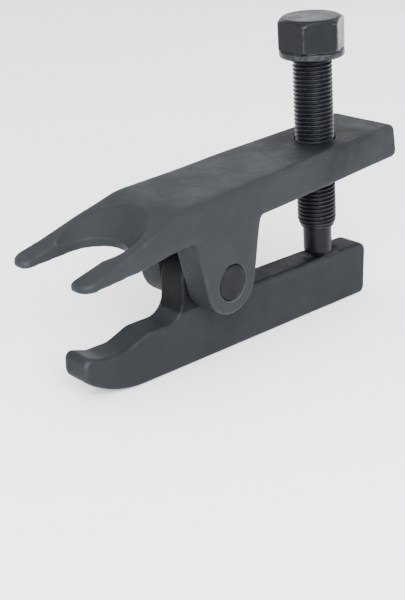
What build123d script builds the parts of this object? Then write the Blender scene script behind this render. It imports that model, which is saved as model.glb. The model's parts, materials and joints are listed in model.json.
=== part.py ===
from build123d import *
from math import acos, atan2, copysign, cos, hypot, radians, sin, sqrt, tan
import os

# Scissor ball joint separator: a forged fork arm, a forged lever pinned between the arm's two ears,
# and a forcing screw that pushes the lever's rear end down so that its nose rises to the fork.
# Millimetres. +X runs to the rear, +Z up. The tool stands on the lever's flat underside.
# Arm and screw are drawn about the pivot with the arm level, then tipped by rest_angle on to the lever.

# ---- driving dimensions: arm --------------------------------------------------------------------
arm_bottom = 17.9            # underside of the arm above the pivot
arm_thickness = 12.8
arm_rear_x = 89.8            # rear end, at the underside
arm_rear_half_width = 14.0
arm_rear_slope = 7.0         # degrees that the rear face leans forward
arm_rear_radius = 2.6
bend_x = -19.0               # where the flat top turns into the wedge
bend_half_width = 17.3
bend_radius = 26.0
wedge_slope = 15.1           # degrees
knee_x = -49.0               # where the wedge steepens towards the tips
knee_radius = 20.0
fork_tip_x = -60.2
fork_tip_half_width = 19.0
fork_tip_thickness = 2.4
fork_gap = 21.0
fork_notch_x = -31.6         # closed end of the notch
prong_outer_radius = 4.3
prong_inner_radius = 2.5
seat_half_angle = 45.5       # countersunk seat round the notch, from its axis
seat_wall_height = 3.1       # upright notch wall left under the seat
arm_edge_radius = 1.5

# ---- driving dimensions: ears and pivot -----------------------------------------------------------
ear_front_x = -15.0
ear_rear_x = 15.6
ear_bottom_radius = 10.9
ear_gap = 12.0
ear_edge_radius = 1.2
ear_head_start = 1.0         # the ears are drawn from this far inside the slab
pin_diameter = 12.0
pin_chamfer = 0.65
pin_recess = 0.25            # pin ends lie this far inside the ears
pin_bore_chamfer = 0.25
pin_running_clearance = 0.06

# ---- driving dimensions: lever --------------------------------------------------------------------
lever_side_clearance = 0.35  # each side, between the ears
lever_depth = 29.8           # flat underside below the pivot
lever_rear_top = 0.3154 * lever_depth   # rear bar's top face below the pivot
lever_front_top = 0.4262 * lever_depth  # front bar's top face below the pivot
lever_rear_x = 82.0
lever_nose_x = -52.2
boss_radius = 12.1
boss_front_fillet = 6.4
boss_rear_fillet = 7.6
hollow_depth = 0.5336 * lever_depth     # lowest line of the hollow behind the nose, below the pivot
hollow_front_x = -44.0
hollow_rear_x = -35.5
hollow_shoulder_x = -27.4
nose_top = 0.443 * lever_depth
nose_heel_share = 0.489      # radius, as a share of the nose's height
nose_tip_share = 0.269
hollow_front_radius = 7.0
hollow_rear_radius = 9.0
shoulder_radius = 6.0
lever_rear_top_radius = 3.6
lever_rear_bottom_radius = 2.4
belly_start_x = -28.0        # where the underside starts to curve up to the nose
belly_radius = 39.0
lever_edge_radius = 1.2

# ---- driving dimensions: forcing screw, thrust ball and its trough ---------------------------------
screw_x = 60.0
screw_diameter = 14.0
thread_pitch = 1.5
thread_depth_share = 0.613   # of the pitch
ridge_foot_share = 0.31      # along the screw, from a ridge's foot to its crest
ridge_crest_share = 0.13
lead_in = 0.2                # from the end of the nose to the first ridge
screw_hole_clearance = 0.08
hole_chamfer = 0.7
head_across_flats = 21.0
head_height = 13.8           # collar included
head_top_radius = 9.7        # flat top inside the turned corners
head_cone_angle = 29.0       # degrees
collar_diameter = 22.8
collar_thickness = 2.5
collar_radius = 0.7
head_to_arm = 29.6           # travel left between the collar and the arm
neck_length = 0.4            # plain length left between the last ridge and the collar
nose_diameter = 10.4
nose_length = 10.4           # plain nose below the thread
nose_radius = 1.1
ball_diameter = 7.0
ball_socket_clearance = 0.04
ball_inside_rim = 0.9        # the rim closes this far below the ball's centre
ball_trough_gap = 0.15
trough_depth = 2.2
trough_radius = 7.0          # across the lever
trough_length_radius = 18.0  # along the lever
trough_lead = 0.8            # the trough's lowest point lies this far behind the ball

rest_angle = 4.2             # degrees between arm and lever as the tool is stored

past = 2.0                   # how far cutting shapes run past the solid
near = 0.1                   # how closely an edge must match to be picked
mostly = 0.9                 # an edge's run counts as along an axis from here up

# ---- worked out from the above --------------------------------------------------------------------
arm_top = arm_bottom + arm_thickness
rest_sin = sin(radians(rest_angle))
rest_cos = cos(radians(rest_angle))
lever_half_width = ear_gap / 2 - lever_side_clearance
ball_radius = ball_diameter / 2
ball_depth_on_lever = lever_rear_top + trough_depth - ball_radius - ball_trough_gap
ball_z = -(ball_depth_on_lever + screw_x * rest_sin) / rest_cos
ball_x_on_lever = screw_x * rest_cos - ball_z * rest_sin
nose_end_z = ball_z - ball_inside_rim
thread_end_z = nose_end_z + nose_length
collar_z = arm_top + head_to_arm
head_top_z = collar_z + head_height

tip_mid_z = arm_bottom + fork_tip_thickness / 2
front_reach = fork_tip_x * rest_cos - tip_mid_z * rest_sin
rear_reach = arm_rear_x * rest_cos - (arm_bottom + arm_rear_radius) * rest_sin
pivot_x = -(front_reach + rear_reach) / 2
lever_seat = Location((pivot_x, 0, lever_depth))
arm_seat = Location((pivot_x, 0, lever_depth), (0, -rest_angle, 0))

side = Plane.XZ              # sketches seen from the side: x to the rear, y up
os.makedirs("parts", exist_ok=True)


def arm_half_width(x):
    """Half the arm's width: one straight taper behind the bend and another along the fork."""
    if x > bend_x:
        share = (x - bend_x) / (arm_rear_x - bend_x)
        return bend_half_width + (arm_rear_half_width - bend_half_width) * share
    share = (bend_x - x) / (bend_x - fork_tip_x)
    return bend_half_width + (fork_tip_half_width - bend_half_width) * share


def ear_tangent_point(root_x):
    """Where the ear's straight edge from its root runs into the round bottom."""
    root_angle = atan2(arm_bottom, abs(root_x))
    swing = acos(ear_bottom_radius / hypot(root_x, arm_bottom))
    x = ear_bottom_radius * cos(root_angle - swing)
    return (copysign(x, root_x), ear_bottom_radius * sin(root_angle - swing))


def side_outline(arm, ears):
    """The outline edges of the arm's two side faces: round the slab, or round the ears below it."""
    found = []
    for edge in arm.edges():
        middle = edge.center()
        run = edge.tangent_at(0.5)
        at_face = abs(abs(middle.Y) - arm_half_width(middle.X)) < arm_edge_radius
        on_side = at_face and abs(run.Y) < mostly
        below = middle.Z < arm_bottom - near
        at_rear = middle.X > rear_top_x - arm_rear_radius
        under_fork = middle.X < ear_front_x and middle.Z < arm_bottom + near
        upright = abs(run.Z) > mostly
        if on_side and ears and below and not at_rear:
            found.append(edge)
        if on_side and not ears and not below and not under_fork and (at_rear or not upright):
            found.append(edge)
    return found


# ---- upper fork arm -------------------------------------------------------------------------------
knee_z = arm_top - (bend_x - knee_x) * tan(radians(wedge_slope))
rear_top_x = arm_rear_x - arm_thickness * tan(radians(arm_rear_slope))
notch_radius = fork_gap / 2
notch_centre_x = fork_notch_x - notch_radius
reach = fork_tip_half_width + past
seat_top = arm_top + past
seat_rise = seat_top - arm_bottom - seat_wall_height

with BuildPart() as upper_fork_arm:
    # slab and wedge, seen from the side
    with BuildSketch(side) as slab:
        with BuildLine():
            Polyline(
                (fork_tip_x, arm_bottom),
                (fork_tip_x, arm_bottom + fork_tip_thickness),
                (knee_x, knee_z),
                (bend_x, arm_top),
                (rear_top_x, arm_top),
                (arm_rear_x, arm_bottom),
                close=True,
            )
        make_face()
        for corner, radius in (
            ((bend_x, arm_top), bend_radius),
            ((knee_x, knee_z), knee_radius),
            ((arm_rear_x, arm_bottom), arm_rear_radius),
            ((rear_top_x, arm_top), arm_rear_radius),
        ):
            fillet(slab.vertices().sort_by_distance(corner)[0], radius)
    extrude(amount=reach, both=True)
    # both ears as one block, their edges tangent to the round bottom
    with BuildSketch(side):
        with BuildLine():
            Polyline(
                (ear_front_x, arm_bottom + ear_head_start),
                (ear_rear_x, arm_bottom + ear_head_start),
                (ear_rear_x, arm_bottom),
                ear_tangent_point(ear_rear_x),
                ear_tangent_point(ear_front_x),
                (ear_front_x, arm_bottom),
                close=True,
            )
        make_face()
        Circle(ear_bottom_radius)
    extrude(amount=reach, both=True)
    # outline from above, with the notch
    with BuildSketch(Plane.XY.offset(-ear_bottom_radius - past)) as plan:
        with BuildLine():
            Polyline(
                (fork_tip_x, fork_tip_half_width),
                (bend_x, bend_half_width),
                (arm_rear_x, arm_rear_half_width),
                (arm_rear_x, -arm_rear_half_width),
                (bend_x, -bend_half_width),
                (fork_tip_x, -fork_tip_half_width),
                close=True,
            )
        make_face()
        with Locations((notch_centre_x, 0)):
            Circle(notch_radius, mode=Mode.SUBTRACT)
        with Locations(((fork_tip_x - past + notch_centre_x) / 2, 0)):
            Rectangle(notch_centre_x - fork_tip_x + past, fork_gap, mode=Mode.SUBTRACT)
        tips = plan.vertices().group_by(Axis.X)[0]
        fillet(tips.sort_by(Axis.Y)[0::3], prong_outer_radius)
        inner = plan.vertices().filter_by_position(Axis.Y, -notch_radius - near, notch_radius + near)
        fillet(inner.group_by(Axis.X)[0], prong_inner_radius)
    extrude(amount=arm_top + ear_bottom_radius + 2 * past, mode=Mode.INTERSECT)
    # soft forged edges
    fillet(side_outline(upper_fork_arm, ears=False), arm_edge_radius)
    fillet(side_outline(upper_fork_arm, ears=True), ear_edge_radius)
    # countersunk seat round the closed end of the notch
    with BuildSketch(side):
        with BuildLine():
            Polyline(
                (notch_centre_x, arm_bottom + seat_wall_height),
                (fork_notch_x, arm_bottom + seat_wall_height),
                (fork_notch_x + seat_rise * tan(radians(seat_half_angle)), seat_top),
                (notch_centre_x, seat_top),
                close=True,
            )
        make_face()
    revolve(axis=Axis((notch_centre_x, 0, 0), (0, 0, 1)), mode=Mode.SUBTRACT)
    # slot between the ears for the lever
    with BuildSketch(side):
        with BuildLine():
            Polyline(
                (ear_front_x - past, arm_bottom),
                (ear_rear_x + past, arm_bottom),
                (ear_rear_x + past, -ear_bottom_radius - past),
                (ear_front_x - past, -ear_bottom_radius - past),
                close=True,
            )
        make_face()
    extrude(amount=ear_gap / 2, both=True, mode=Mode.SUBTRACT)
    # bores for the pin and the screw, with their mouths broken
    with BuildSketch(side):
        Circle(pin_diameter / 2)
    extrude(amount=reach, both=True, mode=Mode.SUBTRACT)
    with BuildSketch(Plane.XY.offset(arm_bottom - past)):
        with Locations((screw_x, 0)):
            Circle(screw_diameter / 2 + screw_hole_clearance)
    extrude(amount=arm_thickness + 2 * past, mode=Mode.SUBTRACT)
    rims = upper_fork_arm.edges().filter_by(GeomType.CIRCLE)
    chamfer([rim for rim in rims if abs(rim.arc_center.X - screw_x) < near], hole_chamfer)
    chamfer([rim for rim in rims if abs(rim.radius - pin_diameter / 2) < near], pin_bore_chamfer)

upper_fork_arm.part.label = "upper_fork_arm"
upper_fork_arm.part.locate(arm_seat)
export_step(upper_fork_arm.part, "parts/upper_fork_arm.step")

# ---- lower lever -----------------------------------------------------------------------------------
belly_rise = belly_radius - sqrt(belly_radius**2 - (belly_start_x - lever_nose_x) ** 2)
nose_bottom_z = belly_rise - lever_depth
nose_height = -nose_top - nose_bottom_z
trough_x = ball_x_on_lever + trough_lead
trough_axis_z = trough_length_radius - lever_rear_top - trough_depth

with BuildPart() as lower_lever:
    with BuildSketch(side) as lever_outline:
        with BuildLine():
            RadiusArc((belly_start_x, -lever_depth), (lever_nose_x, nose_bottom_z), belly_radius)
            Polyline(
                (lever_nose_x, nose_bottom_z),
                (lever_nose_x, -nose_top),
                (hollow_front_x, -hollow_depth),
                (hollow_rear_x, -hollow_depth),
                (hollow_shoulder_x, -lever_front_top),
                (-boss_radius, -lever_front_top),
                (-boss_radius, 0),
                (boss_radius, 0),
                (boss_radius, -lever_rear_top),
                (lever_rear_x, -lever_rear_top),
                (lever_rear_x, -lever_depth),
                (belly_start_x, -lever_depth),
            )
        make_face()
        Circle(boss_radius)
        for corner, radius in (
            ((lever_nose_x, nose_bottom_z), nose_heel_share * nose_height),
            ((lever_nose_x, -nose_top), nose_tip_share * nose_height),
            ((hollow_front_x, -hollow_depth), hollow_front_radius),
            ((hollow_rear_x, -hollow_depth), hollow_rear_radius),
            ((hollow_shoulder_x, -lever_front_top), shoulder_radius),
            ((-boss_radius, -lever_front_top), boss_front_fillet),
            ((boss_radius, -lever_rear_top), boss_rear_fillet),
            ((lever_rear_x, -lever_rear_top), lever_rear_top_radius),
            ((lever_rear_x, -lever_depth), lever_rear_bottom_radius),
        ):
            fillet(lever_outline.vertices().sort_by_distance(corner)[0], radius)
    extrude(amount=lever_half_width, both=True)
    lever_sides = lower_lever.faces().group_by(Axis.Y)
    fillet(lever_sides[0].edges() + lever_sides[-1].edges(), lever_edge_radius)
    # running bore on the pin
    with BuildSketch(side):
        Circle(pin_diameter / 2 + pin_running_clearance)
    extrude(amount=reach, both=True, mode=Mode.SUBTRACT)
    # scooped trough that the thrust ball rides along
    with BuildSketch(Plane.YZ.offset(trough_x)):
        with Locations((0, trough_axis_z - trough_length_radius + trough_radius)):
            Circle(trough_radius)
    revolve(axis=Axis((trough_x, 0, trough_axis_z), (0, 1, 0)), mode=Mode.SUBTRACT)

lower_lever.part.label = "lower_lever"
lower_lever.part.locate(lever_seat)
export_step(lower_lever.part, "parts/lower_lever.step")

# ---- pivot pin -------------------------------------------------------------------------------------
pin_half_length = arm_half_width(0) - pin_recess
with BuildPart() as pivot_pin:
    with BuildSketch(side):
        Circle(pin_diameter / 2)
    extrude(amount=pin_half_length, both=True)
    chamfer(pivot_pin.edges().filter_by(GeomType.CIRCLE), pin_chamfer)

pivot_pin.part.label = "pivot_pin"
pivot_pin.part.locate(arm_seat)
export_step(pivot_pin.part, "parts/pivot_pin.step")

# ---- forcing screw ---------------------------------------------------------------------------------
screw_radius = screw_diameter / 2
thread_depth = thread_depth_share * thread_pitch
root_radius = screw_radius - thread_depth
screw_axis = Axis((screw_x, 0, 0), (0, 0, 1))
ridge_foot = ridge_foot_share * thread_pitch
ridge_crest = ridge_crest_share * thread_pitch
ridge_width = 2 * ridge_foot + ridge_crest
turns = int((collar_z - neck_length - ridge_width - lead_in - thread_end_z) / thread_pitch) + 1


def thread_outline():
    """Radius and height along the threaded length, one ridge to a pitch, from the nose up."""
    points = [(nose_diameter / 2, thread_end_z)]
    for turn in range(turns):
        foot = thread_end_z + lead_in + turn * thread_pitch
        points.append((root_radius, foot))
        points.append((screw_radius, foot + ridge_foot))
        points.append((screw_radius, foot + ridge_foot + ridge_crest))
        points.append((root_radius, foot + ridge_width))
    points.append((root_radius, collar_z))
    return [(screw_x + radius, height) for radius, height in points]


with BuildPart() as forcing_screw:
    # nose, thread and neck
    with BuildSketch(side) as shank:
        with BuildLine():
            Polyline(
                (screw_x, collar_z),
                (screw_x, nose_end_z),
                (screw_x + nose_diameter / 2, nose_end_z),
                *thread_outline(),
                close=True,
            )
        make_face()
        nose_corner = (screw_x + nose_diameter / 2, nose_end_z)
        fillet(shank.vertices().sort_by_distance(nose_corner)[0], nose_radius)
    revolve(axis=screw_axis)
    # hexagon, its top corners turned off, standing on a round collar
    with BuildSketch(Plane.XY.offset(collar_z + collar_thickness / 2)):
        with Locations((screw_x, 0)):
            RegularPolygon(head_across_flats / 2, 6, major_radius=False, rotation=30)
    extrude(amount=head_height - collar_thickness / 2)
    past_corner = head_across_flats / 2 / cos(radians(30)) + past
    turned_drop = (past_corner - head_top_radius) * tan(radians(head_cone_angle))
    with BuildSketch(side):
        with BuildLine():
            Polyline(
                (screw_x + head_top_radius, head_top_z),
                (screw_x + past_corner, head_top_z),
                (screw_x + past_corner, head_top_z - turned_drop),
                close=True,
            )
        make_face()
    revolve(axis=screw_axis, mode=Mode.SUBTRACT)
    with BuildSketch(side) as collar:
        with BuildLine():
            Polyline(
                (screw_x, collar_z),
                (screw_x + collar_diameter / 2, collar_z),
                (screw_x + collar_diameter / 2, collar_z + collar_thickness),
                (screw_x, collar_z + collar_thickness),
                close=True,
            )
        make_face()
        fillet(collar.vertices().group_by(Axis.X)[-1], collar_radius)
    revolve(axis=screw_axis)
    # socket for the thrust ball
    with Locations((screw_x, 0, ball_z)):
        Sphere(ball_radius + ball_socket_clearance, mode=Mode.SUBTRACT)

forcing_screw.part.label = "forcing_screw"
forcing_screw.part.locate(arm_seat)
export_step(forcing_screw.part, "parts/forcing_screw.step")

# ---- thrust ball -----------------------------------------------------------------------------------
with BuildPart() as thrust_ball:
    with Locations((screw_x, 0, ball_z)):
        Sphere(ball_radius)

thrust_ball.part.label = "thrust_ball"
thrust_ball.part.locate(arm_seat)
export_step(thrust_ball.part, "parts/thrust_ball.step")
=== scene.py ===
import json
from math import cos, pi, radians, sin, tan

import bmesh
import bpy
import numpy as np
from mathutils import Matrix, Vector, noise


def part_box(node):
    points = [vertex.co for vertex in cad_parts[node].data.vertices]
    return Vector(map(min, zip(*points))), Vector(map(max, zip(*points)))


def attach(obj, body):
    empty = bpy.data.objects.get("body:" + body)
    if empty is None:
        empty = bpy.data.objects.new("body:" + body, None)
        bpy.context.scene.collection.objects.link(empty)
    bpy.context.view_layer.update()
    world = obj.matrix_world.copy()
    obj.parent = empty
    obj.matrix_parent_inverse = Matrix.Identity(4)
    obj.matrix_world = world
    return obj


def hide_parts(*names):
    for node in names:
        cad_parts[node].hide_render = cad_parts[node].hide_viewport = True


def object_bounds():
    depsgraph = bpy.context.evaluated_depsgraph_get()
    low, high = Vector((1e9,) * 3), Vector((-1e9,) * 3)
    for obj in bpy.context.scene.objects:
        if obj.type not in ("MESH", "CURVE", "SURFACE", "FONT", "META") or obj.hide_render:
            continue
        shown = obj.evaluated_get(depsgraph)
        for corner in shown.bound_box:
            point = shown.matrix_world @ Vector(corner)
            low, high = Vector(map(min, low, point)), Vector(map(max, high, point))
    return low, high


# Looks for the scissor ball joint separator: forged arm and lever with a black oxide skin,
# a helical forcing screw with a worn hexagon, a turned pivot pin and a polished thrust ball.
# Metres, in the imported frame.

MM = 0.001

# ---- camera: a level view along the fork, from the left front ----------------------------------
CAMERA_TARGET = (-0.0045, 0.0066, 0.0555)
CAMERA_DISTANCE = 0.3868
CAMERA_AZIMUTH = -43.5       # degrees
CAMERA_ELEVATION = 17.1
CAMERA_ROLL = -0.57
CAMERA_LENS = 69.5
CAMERA_SHIFT = (0.0, -0.19)
CAMERA_CLIP = (0.01, 10)

# ---- studio: each light's place, aim and size in metres, then its watts ---------------------------
LIGHTS = (
    ("key", (-0.50, -0.70, 0.56), (0, 0, 0.05), (0.8, 0.6), 36.0),
    ("top", (0.1, 0.1, 1.0), (0, 0, 0), (0.8, 0.8), 1.0),
    ("side", (0.8, 0.15, 0.06), (0.04, 0, 0.09), (0.4, 0.3), 2.0),
)
WORLD_COLOUR = (0.965, 0.985, 1.0, 1)
WORLD_STRENGTH = 2.2
FLOOR_REACH = 3.0
FLOOR_DROP = 0.05 * MM
FLOOR_COLOURS = ((0.93, 0.93, 0.93), (0.95, 0.95, 0.95))

# ---- steel colours: dark and light clouds, then the rubbed edges ---------------------------------
ARM_COLOURS = ((0.0128, 0.0142, 0.0162), (0.0148, 0.0163, 0.0186), (0.031, 0.034, 0.038))
LEVER_COLOURS = ((0.0108, 0.0120, 0.0139), (0.0126, 0.0139, 0.0160), (0.029, 0.032, 0.036))
SCREW_COLOURS = ((0.0020, 0.0025, 0.0033), (0.0036, 0.0043, 0.0054), (0.044, 0.050, 0.058))
PIN_COLOURS = ((0.0030, 0.0031, 0.0040), (0.0056, 0.0058, 0.0072), (0.022, 0.024, 0.028))
BALL_COLOURS = ((0.10, 0.10, 0.105), (0.14, 0.14, 0.145), (0.17, 0.17, 0.17))

# ---- forged pieces -----------------------------------------------------------------------------
VOXEL = 0.40 * MM
EDGE_SOFTENING = 7           # smoothing passes over the whole skin
ROOT_FILLING = 26            # extra passes in hollow corners only
ROOT_FLATNESS = 0.004 * MM   # a skin this flat isn't filled
WEDGE_SOFTENING = 70         # extra passes on the fork's upper outer edges
WEDGE_START = -52 * MM       # along X: softening fades in here
WEDGE_END = 14 * MM          # and is gone here
WEDGE_FADE = 14 * MM
WEDGE_LEVELS = (34 * MM, 22 * MM)    # below the arm's top: no softening, full softening
WEDGE_SIDES = (11.0 * MM, 13.5 * MM)  # from the middle: no softening, full softening
WAVE_HEIGHT = 0.10 * MM      # hammered waviness, always inwards
WAVE_LENGTH = 11 * MM
SKIN_INSET = 0.02 * MM
FORGED_BEND = 0.035 * MM     # a vertex this far off its neighbours counts as fully bent
SCREW_BEND = 0.05 * MM
PIN_BEND = 0.1 * MM

# ---- forcing screw, measured from the collar's underside along its axis ------------------------
THREAD_MAJOR = 7.0 * MM
THREAD_PITCH = 1.5 * MM
THREAD_ROOT = THREAD_MAJOR - 0.613 * THREAD_PITCH
NOSE_RADIUS = 5.2 * MM
NOSE_LENGTH = 10.4 * MM
NOSE_EDGE = 1.1 * MM
LEAD_LENGTH = 2.6 * MM       # the thread tapers in over this length
LEAD_RADIUS = 6.0 * MM
THREAD_HIGH = -0.25 * MM     # the thread stops just under the collar
CREST_HALF = 0.085           # shares of the pitch
ROOT_HALF = 0.14
HEX_APOTHEM = 10.5 * MM
HEX_TURN = 28.0              # degrees from +X to a corner
HEX_SHARPNESS = 44
HEAD_TOP_RADIUS = 9.7 * MM
HEAD_CONE = 29.0             # degrees, turned top corners
COLLAR_RADIUS = 11.4 * MM
COLLAR_HEIGHT = 2.5 * MM
COLLAR_EDGE = 0.6 * MM
COLLAR_INNER = 8.6 * MM
HEX_FOOT = ((0.0, 0.22), (0.12, 0.07), (0.3, 0.0))  # mm above the collar, mm outside the flats
HEX_START = 0.6 * MM
CONE_BLEND = 70.0
HEAD_TO_ARM = 29.6 * MM      # from the collar down to the arm's top
SOCKET_GAP = 0.04 * MM
COLUMNS = 192
STEPS_PER_TURN = 12

# ---- lever and pivot pin -----------------------------------------------------------------------
BAR_TOP = 20.4 * MM          # the rear bar's top above the floor
PIN_RADIUS = 5.98 * MM
PIN_RIM = 0.55 * MM
PIN_DISH = ((0.001, 0.22), (1.4, 0.2), (3.4, 0.1), (4.6, 0.01))  # mm: radius, depth
PIN_COLUMNS = 128
RING_SPACING = 0.55 * MM     # tool marks on the pin's ends
MERGE_DISTANCE = 0.004 * MM
PIN_MERGE_DISTANCE = 0.001 * MM

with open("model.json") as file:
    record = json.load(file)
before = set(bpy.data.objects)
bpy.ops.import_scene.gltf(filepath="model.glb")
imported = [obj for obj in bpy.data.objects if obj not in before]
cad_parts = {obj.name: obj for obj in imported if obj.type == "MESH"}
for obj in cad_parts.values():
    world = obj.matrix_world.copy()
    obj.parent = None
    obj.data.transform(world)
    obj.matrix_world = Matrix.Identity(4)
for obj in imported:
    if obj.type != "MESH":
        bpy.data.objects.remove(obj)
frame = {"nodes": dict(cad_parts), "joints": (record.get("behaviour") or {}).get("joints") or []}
cad_low, cad_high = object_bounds()
scene = bpy.context.scene


# ---- mesh helpers ------------------------------------------------------------------------------
def coordinates(mesh):
    co = np.empty(len(mesh.vertices) * 3)
    mesh.vertices.foreach_get("co", co)
    return co.reshape(-1, 3)


def normals(mesh):
    found = np.empty(len(mesh.vertices) * 3)
    mesh.vertex_normals.foreach_get("vector", found)
    return found.reshape(-1, 3)


def set_coordinates(mesh, co):
    mesh.vertices.foreach_set("co", co.astype(np.float32).ravel())
    mesh.update()


def edge_ends(mesh):
    ends = np.empty(len(mesh.edges) * 2, int)
    mesh.edges.foreach_get("vertices", ends)
    return ends.reshape(-1, 2)


def neighbour_mean(values, ends, degree):
    """Mean of each vertex's neighbours, for values with one row to a vertex."""
    total = np.zeros_like(values)
    for column in range(values.shape[1]):
        total[:, column] += np.bincount(ends[:, 0], values[ends[:, 1], column], len(values))
        total[:, column] += np.bincount(ends[:, 1], values[ends[:, 0], column], len(values))
    return total / degree[:, None]


def shade_smooth(mesh):
    mesh.polygons.foreach_set("use_smooth", np.ones(len(mesh.polygons), bool))
    mesh.update()


def store_curvature(mesh, size, spread):
    """Vertex attributes edge and hollow, from 0 to 1: how sharply the skin turns there."""
    ends = edge_ends(mesh)
    degree = np.maximum(np.bincount(ends.ravel(), minlength=len(mesh.vertices)), 1)
    co = coordinates(mesh)
    bend = ((neighbour_mean(co, ends, degree) - co) * normals(mesh)).sum(1)[:, None] / size
    for _ in range(spread):
        bend = 0.5 * bend + 0.5 * neighbour_mean(bend, ends, degree)
    for name, sign in (("edge", -1), ("hollow", 1)):
        layer = mesh.attributes.new(name, "FLOAT", "POINT")
        layer.data.foreach_set("value", np.clip(sign * bend[:, 0], 0, 1).astype(np.float32))


def new_piece(name, mesh, node, body, place=None):
    piece = bpy.data.objects.new(name, mesh)
    scene.collection.objects.link(piece)
    if place is not None:
        piece.matrix_world = place
    shade_smooth(mesh)
    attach(piece, body)
    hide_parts(node)
    return piece


# ---- forged arm and lever ----------------------------------------------------------------------
def fade(values, low, high):
    """Smooth step from 0 at low to 1 at high."""
    share = np.clip((values - low) / (high - low), 0, 1)
    return share * share * (3 - 2 * share)


def soften_wedge(mesh, ends, degree, top):
    """Rounder upper edges along the fork, none at the thin tips."""
    co = coordinates(mesh)
    far = fade(co[:, 0], WEDGE_START, WEDGE_START + WEDGE_FADE)
    far *= 1 - fade(co[:, 0], WEDGE_END - 2 * WEDGE_FADE, WEDGE_END)
    high = fade(co[:, 2], top - WEDGE_LEVELS[0], top - WEDGE_LEVELS[1])
    wide = fade(np.abs(co[:, 1]), *WEDGE_SIDES)
    share = (far * high * wide)[:, None]
    for _ in range(WEDGE_SOFTENING):
        co += 0.5 * share * (neighbour_mean(co, ends, degree) - co)
    set_coordinates(mesh, co)


def forged_mesh(node):
    """The node's solid with softened edges, filled hollow corners and a slightly uneven skin."""
    source = bpy.data.objects.new("forging_blank", frame["nodes"][node].data.copy())
    scene.collection.objects.link(source)
    remesh = source.modifiers.new("skin", "REMESH")
    remesh.mode = "VOXEL"
    remesh.voxel_size = VOXEL
    soften = source.modifiers.new("soften", "SMOOTH")
    soften.factor = 0.5
    soften.iterations = EDGE_SOFTENING
    graph = bpy.context.evaluated_depsgraph_get()
    mesh = bpy.data.meshes.new_from_object(source.evaluated_get(graph))
    bpy.data.objects.remove(source)

    ends = edge_ends(mesh)
    degree = np.maximum(np.bincount(ends.ravel(), minlength=len(mesh.vertices)), 1)
    if node == "upper_fork_arm":
        soften_wedge(mesh, ends, degree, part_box(node)[1].z)
    for _ in range(ROOT_FILLING):
        co = coordinates(mesh)
        outward = normals(mesh)
        pull = ((neighbour_mean(co, ends, degree) - co) * outward).sum(1)
        pull = np.where(pull > ROOT_FLATNESS, pull, 0)
        set_coordinates(mesh, co + outward * pull[:, None] * 0.5)

    co = coordinates(mesh)
    outward = normals(mesh)
    waves = np.array([noise.noise(Vector(p) / WAVE_LENGTH) for p in co])
    depth = SKIN_INSET + WAVE_HEIGHT * (0.5 + 0.5 * np.clip(waves, -1, 1))
    set_coordinates(mesh, np.clip(co - outward * depth[:, None], cad_low, cad_high))
    store_curvature(mesh, FORGED_BEND, 2)
    return mesh


# ---- forcing screw -----------------------------------------------------------------------------
def joint(name):
    return next(found for found in frame["joints"] if found["name"] == name)


screw_joint = joint("screw_turn")
screw_up = -Vector(screw_joint["axis"]).normalized()
screw_across = Vector((0, 1, 0)).cross(screw_up).normalized()
screw_place = Matrix.Translation(screw_joint["pos_m"]) @ Matrix(
    (screw_across, (0, 1, 0), screw_up)
).transposed().to_4x4()
to_screw = screw_place.inverted()
screw_heights = [(to_screw @ v.co).z for v in frame["nodes"]["forcing_screw"].data.vertices]
NOSE_END = min(screw_heights)
HEAD_TOP = max(screw_heights)
ball_low, ball_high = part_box("thrust_ball")
BALL_Z = (to_screw @ ((ball_low + ball_high) / 2)).z
SOCKET_RADIUS = (ball_high.y - ball_low.y) / 2 + SOCKET_GAP

angles = np.arange(COLUMNS) * 2 * pi / COLUMNS


def hexagon(angle):
    """Distance to a hexagon with slightly rounded corners, in every direction."""
    facing = radians(HEX_TURN + 30) + np.arange(6)[:, None] * pi / 3
    spread = np.maximum(np.cos(angle[None, :] - facing), 0) ** HEX_SHARPNESS
    return HEX_APOTHEM / spread.sum(0) ** (1 / HEX_SHARPNESS)


def round_corner(radius, height, edge, start, stop, steps=5):
    """Points along a rounded corner about (radius, height), angles from the outward direction."""
    turns = np.linspace(radians(start), radians(stop), steps)
    return [(radius + edge * cos(t), height + edge * sin(t)) for t in turns]


def thread_profile(turn):
    """Radius over one turn, 0 to 1: flat crest, flanks and a rounded root."""
    away = np.abs((turn % 1) - 0.5)
    share = np.clip((away - CREST_HALF) / (0.5 - CREST_HALF - ROOT_HALF), 0, 1)
    share = share * 0.88 + 0.12 * share**2 * (3 - 2 * share)
    return THREAD_MAJOR - (THREAD_MAJOR - THREAD_ROOT) * share


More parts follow.
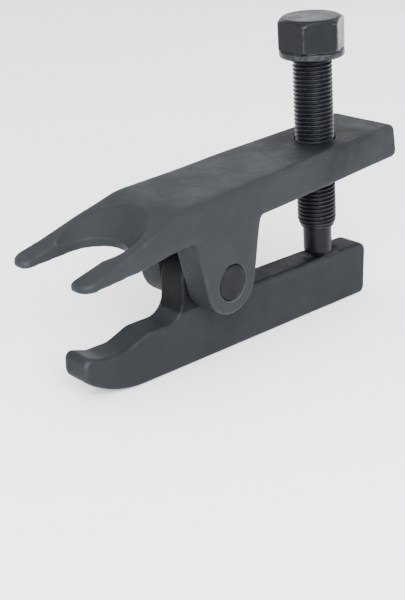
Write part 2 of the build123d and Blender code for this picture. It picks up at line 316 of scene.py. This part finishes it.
def screw_mesh():
    """One closed skin from the ball socket up to the head, in rings of columns."""
    rings = []                                             # each: height, radii
    flat = np.ones(COLUMNS)
    # socket and rounded nose
    rim_angle = np.arccos((BALL_Z - NOSE_END) / SOCKET_RADIUS)
    for t in np.linspace(0.02, pi - rim_angle, 9):
        rings.append((BALL_Z + SOCKET_RADIUS * cos(t), SOCKET_RADIUS * sin(t) * flat))
    for r, z in round_corner(NOSE_RADIUS - NOSE_EDGE, NOSE_END + NOSE_EDGE, NOSE_EDGE, -90, 0, 8):
        rings.append((z, r * flat))
    thread_low = NOSE_END + NOSE_LENGTH
    for share in np.linspace(0.1, 0.95, 8):
        rings.append((NOSE_END + NOSE_EDGE + (NOSE_LENGTH - NOSE_EDGE) * share, NOSE_RADIUS * flat))
    shoulder = NOSE_RADIUS * 1.003
    rings.append((thread_low, shoulder * flat))
    below = [(np.full(COLUMNS, z), r) for z, r in rings]

    # thread: ring k climbs one turn round the screw
    count = int((THREAD_HIGH - thread_low) / THREAD_PITCH + 2) * STEPS_PER_TURN
    climb = []
    for k in range(-STEPS_PER_TURN, count + 1):
        turn = k / STEPS_PER_TURN
        z = thread_low + THREAD_PITCH * (turn + angles / (2 * pi))
        lead = LEAD_RADIUS + (z - thread_low) / LEAD_LENGTH * (THREAD_MAJOR - LEAD_RADIUS)
        radius = np.minimum(thread_profile(turn), np.maximum(lead, NOSE_RADIUS))
        radius = np.where(z <= thread_low, shoulder, radius)
        radius = np.where(z >= THREAD_HIGH, THREAD_ROOT, radius)
        climb.append((np.clip(z, thread_low, THREAD_HIGH), radius))

    # collar, hexagon with turned corners, flat top
    hexed = hexagon(angles)
    above = []
    for r, z in ((THREAD_ROOT, THREAD_HIGH * 0.5), (THREAD_ROOT, 0.0), (COLLAR_INNER, 0.0)):
        above.append((np.full(COLUMNS, z), r * flat))
    inner = COLLAR_RADIUS - COLLAR_EDGE
    low_rim = round_corner(inner, COLLAR_EDGE, COLLAR_EDGE, -90, 0)
    high_rim = round_corner(inner, COLLAR_HEIGHT - COLLAR_EDGE, COLLAR_EDGE, 0, 90)
    for r, z in low_rim + high_rim:
        above.append((np.full(COLUMNS, z), r * flat))
    for lift, spare in HEX_FOOT:
        z = COLLAR_HEIGHT + lift * MM
        foot = np.minimum(hexed + spare * MM, COLLAR_RADIUS + lift * MM)
        above.append((np.full(COLUMNS, z), foot))
    corner = HEX_APOTHEM / cos(radians(30))
    cone = tan(radians(HEAD_CONE))
    flats_low = COLLAR_HEIGHT + HEX_START
    cone_start = HEAD_TOP - (corner - HEAD_TOP_RADIUS) * cone
    for share in np.linspace(0.0, 1.0, 12):
        above.append((np.full(COLUMNS, flats_low + (cone_start - flats_low) * share), hexed))
    for limit in np.linspace(corner, HEAD_TOP_RADIUS, 16):
        z = HEAD_TOP - (limit - HEAD_TOP_RADIUS) * cone
        softened = (hexed**-CONE_BLEND + limit**-CONE_BLEND) ** (-1 / CONE_BLEND)
        above.append((np.full(COLUMNS, z), softened))
    for share in (0.985, 0.96, 0.85, 0.7, 0.5, 0.3, 0.12, 0.002):
        above.append((np.full(COLUMNS, HEAD_TOP), HEAD_TOP_RADIUS * share * flat))

    layers = below + climb + above
    heights = np.array([z for z, _ in layers])
    radii = np.array([r for _, r in layers])
    across = [radii * np.cos(angles), radii * np.sin(angles)]
    points = np.stack([*across, heights], axis=2).reshape(-1, 3)

    first, last = len(below), len(below) + len(climb) - 1
    faces = []
    for row in range(len(layers) - 1):
        for column in range(COLUMNS):
            right = column + 1
            here, there = row, row + 1
            if right == COLUMNS:
                right = 0
                if first <= row <= last:
                    here = min(row + STEPS_PER_TURN, last)
                if first <= row + 1 <= last:
                    there = min(row + 1 + STEPS_PER_TURN, last)
            faces.append((row * COLUMNS + column, here * COLUMNS + right,
                          there * COLUMNS + right, (row + 1) * COLUMNS + column))
    faces.append(tuple(range(COLUMNS))[::-1])
    top = (len(layers) - 1) * COLUMNS
    faces.append(tuple(range(top, top + COLUMNS)))
    mesh = bpy.data.meshes.new("forcing_screw_skin")
    mesh.from_pydata([tuple(p) for p in points], [], faces)
    merge_close(mesh, MERGE_DISTANCE)
    return mesh


def merge_close(mesh, distance):
    work = bmesh.new()
    work.from_mesh(mesh)
    bmesh.ops.remove_doubles(work, verts=work.verts, dist=distance)
    bmesh.ops.dissolve_degenerate(work, edges=work.edges, dist=distance / 2)
    bmesh.ops.recalc_face_normals(work, faces=work.faces)
    work.to_mesh(mesh)
    work.free()
    mesh.update()


# ---- pivot pin: turned ends with a shallow dish ------------------------------------------------
def turned_mesh(name, outline, columns):
    """A closed solid of revolution about Z from (radius, height) points, bottom centre to top."""
    turns = np.arange(columns) * 2 * pi / columns
    points = [(r * cos(a), r * sin(a), z) for r, z in outline for a in turns]
    faces = [
        (row * columns + c, row * columns + (c + 1) % columns,
         (row + 1) * columns + (c + 1) % columns, (row + 1) * columns + c)
        for row in range(len(outline) - 1) for c in range(columns)
    ]
    faces.append(tuple(range(columns))[::-1])
    top = (len(outline) - 1) * columns
    faces.append(tuple(range(top, top + columns)))
    mesh = bpy.data.meshes.new(name)
    mesh.from_pydata(points, [], faces)
    merge_close(mesh, PIN_MERGE_DISTANCE)
    return mesh


# ---- materials ---------------------------------------------------------------------------------
class Surface:
    """Small wrapper round a material's node tree."""

    def __init__(self, name):
        self.material = bpy.data.materials.new(name)
        self.material.use_nodes = True
        self.tree = self.material.node_tree
        self.shader = self.tree.nodes["Principled BSDF"]
        self.where = self.tree.nodes.new("ShaderNodeTexCoord").outputs["Object"]

    def link(self, source, target):
        self.tree.links.new(source, target)

    def noise(self, size, detail=3.0, rough=0.55, stretch=(1, 1, 1)):
        """Cloudy 0 to 1 pattern with blobs of about size."""
        mapping = self.tree.nodes.new("ShaderNodeMapping")
        mapping.inputs["Scale"].default_value = stretch
        self.link(self.where, mapping.inputs["Vector"])
        node = self.tree.nodes.new("ShaderNodeTexNoise")
        node.inputs["Scale"].default_value = 1 / size
        node.inputs["Detail"].default_value = detail
        node.inputs["Roughness"].default_value = rough
        self.link(mapping.outputs["Vector"], node.inputs["Vector"])
        return node.outputs["Fac"]

    def specks(self, size):
        node = self.tree.nodes.new("ShaderNodeTexVoronoi")
        node.inputs["Scale"].default_value = 1 / size
        self.link(self.where, node.inputs["Vector"])
        return node.outputs["Distance"]

    def ramp(self, source, low, high, from_value=0.0, to_value=1.0):
        node = self.tree.nodes.new("ShaderNodeMapRange")
        node.interpolation_type = "SMOOTHSTEP"
        node.inputs["From Min"].default_value = low
        node.inputs["From Max"].default_value = high
        node.inputs["To Min"].default_value = from_value
        node.inputs["To Max"].default_value = to_value
        self.link(source, node.inputs["Value"])
        return node.outputs["Result"]

    def height(self):
        node = self.tree.nodes.new("ShaderNodeSeparateXYZ")
        self.link(self.where, node.inputs["Vector"])
        return node.outputs["Z"]

    def distance(self, point):
        """How far the surface is from a point of the object."""
        node = self.tree.nodes.new("ShaderNodeVectorMath")
        node.operation = "DISTANCE"
        node.inputs[1].default_value = point
        self.link(self.where, node.inputs[0])
        return node.outputs["Value"]

    def attribute(self, name):
        node = self.tree.nodes.new("ShaderNodeAttribute")
        node.attribute_name = name
        return node.outputs["Fac"]

    def math(self, kind, first, second):
        node = self.tree.nodes.new("ShaderNodeMath")
        node.operation = kind
        for socket, value in zip(node.inputs, (first, second)):
            if isinstance(value, (int, float)):
                socket.default_value = value
            else:
                self.link(value, socket)
        return node.outputs["Value"]

    def mix(self, share, first, second):
        node = self.tree.nodes.new("ShaderNodeMix")
        node.data_type = "RGBA"
        self.link(share, node.inputs["Factor"])
        for socket, value in ((node.inputs["A"], first), (node.inputs["B"], second)):
            if isinstance(value, tuple):
                socket.default_value = (*value, 1)
            else:
                self.link(value, socket)
        return node.outputs["Result"]

    def bump(self, height, depth, below=None):
        node = self.tree.nodes.new("ShaderNodeBump")
        node.inputs["Strength"].default_value = 1.0
        node.inputs["Distance"].default_value = depth
        self.link(height, node.inputs["Height"])
        if below is not None:
            self.link(below, node.inputs["Normal"])
        return node.outputs["Normal"]

    def finish(self, colour, roughness, normal, metallic, specular=0.5):
        self.link(colour, self.shader.inputs["Base Color"])
        self.link(roughness, self.shader.inputs["Roughness"])
        self.link(normal, self.shader.inputs["Normal"])
        self.shader.inputs["Metallic"].default_value = metallic
        self.shader.inputs["Specular IOR Level"].default_value = specular
        return self.material


def forged_steel(name, colours, specular, roughness, shade_mask):
    """Black oxide over a forged skin: clouds, fine grain, pits, a patch of painted shade and rubbed
    edges.
    """
    dark, light, worn = colours
    surface = Surface(name)
    clouds = surface.ramp(surface.noise(11 * MM, 6, 0.62), 0.3, 0.72)
    grain = surface.noise(0.9 * MM, 2, 0.6)
    colour = surface.mix(clouds, dark, light)
    stains = surface.ramp(surface.noise(7 * MM, 6, 0.7), 0.6, 0.78, 0.0, 0.4)
    colour = surface.mix(stains, colour, tuple(0.72 * c for c in dark))
    # Painted shade: the given mask darkens the top where the screw or the arm shades it.
    painted_shade = shade_mask(surface)
    colour = surface.mix(painted_shade, colour, tuple(0.2 * c for c in dark))
    pits = surface.ramp(surface.specks(2.6 * MM), 0.05, 0.14, 1.0, 0.0)
    chosen = surface.ramp(surface.noise(5 * MM, 1), 0.55, 0.62)
    pits = surface.math("MULTIPLY", pits, chosen)
    colour = surface.mix(surface.math("MULTIPLY", pits, 0.5), colour, tuple(0.5 * c for c in dark))
    rubbed = surface.ramp(surface.attribute("edge"), 0.25, 0.95)
    patches = surface.ramp(surface.noise(3.2 * MM, 4, 0.7), 0.36, 0.7, 0.25, 0.95)
    rubbed = surface.math("MULTIPLY", rubbed, patches)
    colour = surface.mix(rubbed, colour, worn)
    shade = surface.ramp(surface.attribute("hollow"), 0.1, 0.9, 0.0, 0.6)
    colour = surface.mix(shade, colour, tuple(0.5 * c for c in dark))
    uneven = surface.math("MULTIPLY", surface.math("SUBTRACT", grain, 0.5), 0.16)
    cloudy = surface.ramp(clouds, 0, 1, roughness + 0.05, roughness - 0.05)
    rough = surface.math("ADD", cloudy, uneven)
    rough = surface.math("SUBTRACT", rough, surface.math("MULTIPLY", rubbed, 0.08))
    soft = surface.bump(surface.noise(4.5 * MM, 3), 0.09 * MM)
    fine = surface.bump(grain, 0.018 * MM, soft)
    pocks = surface.bump(surface.math("MULTIPLY", pits, -1), 0.05 * MM, fine)
    return surface.finish(colour, rough, pocks, 0.0, specular)


def shade_round_screw(surface):
    """Painted shade on the arm's top round the forcing screw."""
    mouth = screw_place @ Vector((0, 0, -HEAD_TO_ARM))
    away = surface.distance(mouth)
    ragged = surface.math("SUBTRACT", surface.noise(9 * MM, 3), 0.5)
    edge = surface.math("MULTIPLY", ragged, 14 * MM)
    return surface.ramp(surface.math("ADD", away, edge), 9 * MM, 24 * MM, 0.85, 0.0)


def shade_on_rear_bar(surface):
    """Painted shade on the lever's top, between the arm's ears and along the rear bar, where the arm
    shades it.
    """
    ragged = surface.math("SUBTRACT", surface.noise(6 * MM, 3), 0.5)
    edge = surface.math("MULTIPLY", ragged, 0.8 * MM)
    level = surface.math("ADD", surface.height(), edge)
    return surface.ramp(level, BAR_TOP - 1.2 * MM, BAR_TOP - 0.1 * MM, 0.0, 0.85)


def machined_steel(name, colours, metallic, specular, roughness, ringed):
    """Turned steel, lubricated and blackened or polished, brighter where the edges rub."""
    dark, light, worn = colours
    surface = Surface(name)
    clouds = surface.ramp(surface.noise(6 * MM, 4, 0.6), 0.35, 0.68)
    colour = surface.mix(clouds, dark, light)
    rubbed = surface.ramp(surface.attribute("edge"), 0.3, 1.0)
    patches = surface.ramp(surface.noise(1.8 * MM, 4, 0.75), 0.36, 0.66, 0.1, 0.6)
    rubbed = surface.math("MULTIPLY", rubbed, patches)
    colour = surface.mix(rubbed, colour, worn)
    shade = surface.ramp(surface.attribute("hollow"), 0.1, 0.8, 0.0, 0.6)
    colour = surface.mix(shade, colour, tuple(0.4 * c for c in dark))
    grain = surface.noise(0.5 * MM, 3, 0.6)
    uneven = surface.math("MULTIPLY", surface.math("SUBTRACT", grain, 0.5), 0.2)
    cloudy = surface.ramp(clouds, 0, 1, roughness + 0.04, roughness - 0.05)
    rough = surface.math("ADD", cloudy, uneven)
    dents = surface.bump(surface.noise(2.4 * MM, 2), 0.05 * MM)
    normal = surface.bump(grain, 0.006 * MM, dents)
    if ringed:
        normal = surface.bump(turning_rings(surface), 0.012 * MM, normal)
    return surface.finish(colour, rough, normal, metallic, specular)


def turning_rings(surface):
    """Fine concentric tool marks about the object's Z axis."""
    flat = surface.tree.nodes.new("ShaderNodeVectorMath")
    flat.operation = "MULTIPLY"
    flat.inputs[1].default_value = (1, 1, 0)
    surface.link(surface.where, flat.inputs[0])
    away = surface.tree.nodes.new("ShaderNodeVectorMath")
    away.operation = "LENGTH"
    surface.link(flat.outputs["Vector"], away.inputs[0])
    turns = surface.math("MULTIPLY", away.outputs["Value"], 2 * pi / RING_SPACING)
    return surface.math("SINE", turns, 0)


# ---- build -------------------------------------------------------------------------------------
def give_material(piece, material):
    piece.data.materials.clear()
    piece.data.materials.append(material)


arm_skin = forged_mesh("upper_fork_arm")
arm = new_piece("upper_fork_arm_skin", arm_skin, "upper_fork_arm", "arm")
lever_skin = forged_mesh("lower_lever")
lever = new_piece("lower_lever_skin", lever_skin, "lower_lever", "lever")

screw_skin = screw_mesh()
screw_skin.transform(screw_place)
store_curvature(screw_skin, SCREW_BEND, 0)
screw = new_piece("forcing_screw_skin", screw_skin, "forcing_screw", "screw")

pin_low, pin_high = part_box("pivot_pin")
pin_half = (pin_high.y - pin_low.y) / 2
dish = [(radius * MM, pin_half - depth * MM) for radius, depth in PIN_DISH]
rim = round_corner(PIN_RADIUS - PIN_RIM, pin_half - PIN_RIM, PIN_RIM, 90, 0, 6)
half_outline = [(r, -z) for r, z in dish + rim]
outline = half_outline + [(PIN_RADIUS, 0.0)] + [(r, -z) for r, z in half_outline[::-1]]
pin_skin = turned_mesh("pivot_pin_skin", outline, PIN_COLUMNS)
store_curvature(pin_skin, PIN_BEND, 0)
pin_centre = (pin_low + pin_high) / 2
pin_place = Matrix.Translation(pin_centre) @ Matrix.Rotation(radians(90), 4, "X")
pin = new_piece("pivot_pin_skin", pin_skin, "pivot_pin", "arm", pin_place)

# Painted shade: round the screw on the arm's top, and on the lever's top under the arm.
give_material(arm, forged_steel("arm_black_oxide", ARM_COLOURS, 0.06, 0.5, shade_round_screw))
give_material(lever, forged_steel("lever_black_oxide", LEVER_COLOURS, 0.05, 0.5, shade_on_rear_bar))
give_material(screw, machined_steel("screw_black_oxide", SCREW_COLOURS, 0.0, 0.12, 0.35, False))
give_material(pin, machined_steel("pin_black_oxide", PIN_COLOURS, 0.0, 0.08, 0.4, True))
ball = frame["nodes"]["thrust_ball"]
give_material(ball, machined_steel("ball_polished_steel", BALL_COLOURS, 0.9, 0.5, 0.2, False))

# ---- floor, light and camera -------------------------------------------------------------------
floor_mesh = bpy.data.meshes.new("floor")
floor_corners = [(x * FLOOR_REACH, y * FLOOR_REACH, 0) for x, y in ((-1, -1), (1, -1), (1, 1), (-1, 1))]
floor_mesh.from_pydata(floor_corners, [], [(0, 1, 2, 3)])
floor = bpy.data.objects.new("floor", floor_mesh)
floor.location.z = -FLOOR_DROP
scene.collection.objects.link(floor)
paper = Surface("paper_white")
paper_colour = paper.mix(paper.ramp(paper.noise(0.25, 2), 0.3, 0.7), *FLOOR_COLOURS)
paper_rough = paper.ramp(paper.noise(0.1, 2), 0.3, 0.7, 0.85, 0.9)
paper.finish(paper_colour, paper_rough, paper.bump(paper.noise(4 * MM, 2), 0.01 * MM), 0.0)
floor_mesh.materials.append(paper.material)

world = bpy.data.worlds.new("studio")
scene.world = world
world.use_nodes = True
background = world.node_tree.nodes["Background"]
background.inputs["Color"].default_value = WORLD_COLOUR
background.inputs["Strength"].default_value = WORLD_STRENGTH


def soft_light(name, place, aim, size, power):
    light = bpy.data.lights.new(name, "AREA")
    light.shape = "RECTANGLE"
    light.size, light.size_y = size
    light.energy = power
    lamp = bpy.data.objects.new(name, light)
    lamp.location = place
    lamp.rotation_mode = "QUATERNION"
    lamp.rotation_quaternion = (Vector(aim) - Vector(place)).to_track_quat("-Z", "Y")
    scene.collection.objects.link(lamp)


for light in LIGHTS:
    soft_light(*light)

azimuth, elevation = radians(CAMERA_AZIMUTH), radians(CAMERA_ELEVATION)
back = Vector((sin(azimuth) * cos(elevation), -cos(azimuth) * cos(elevation), sin(elevation)))
lens = bpy.data.cameras.new("camera")
lens.lens = CAMERA_LENS
lens.shift_x, lens.shift_y = CAMERA_SHIFT
lens.clip_start, lens.clip_end = CAMERA_CLIP
camera = bpy.data.objects.new("camera", lens)
camera.location = Vector(CAMERA_TARGET) + back * CAMERA_DISTANCE
camera.rotation_mode = "QUATERNION"
level = (-back).to_track_quat("-Z", "Y")
camera.rotation_quaternion = level @ Matrix.Rotation(radians(CAMERA_ROLL), 3, "Z").to_quaternion()
scene.collection.objects.link(camera)
scene.camera = camera
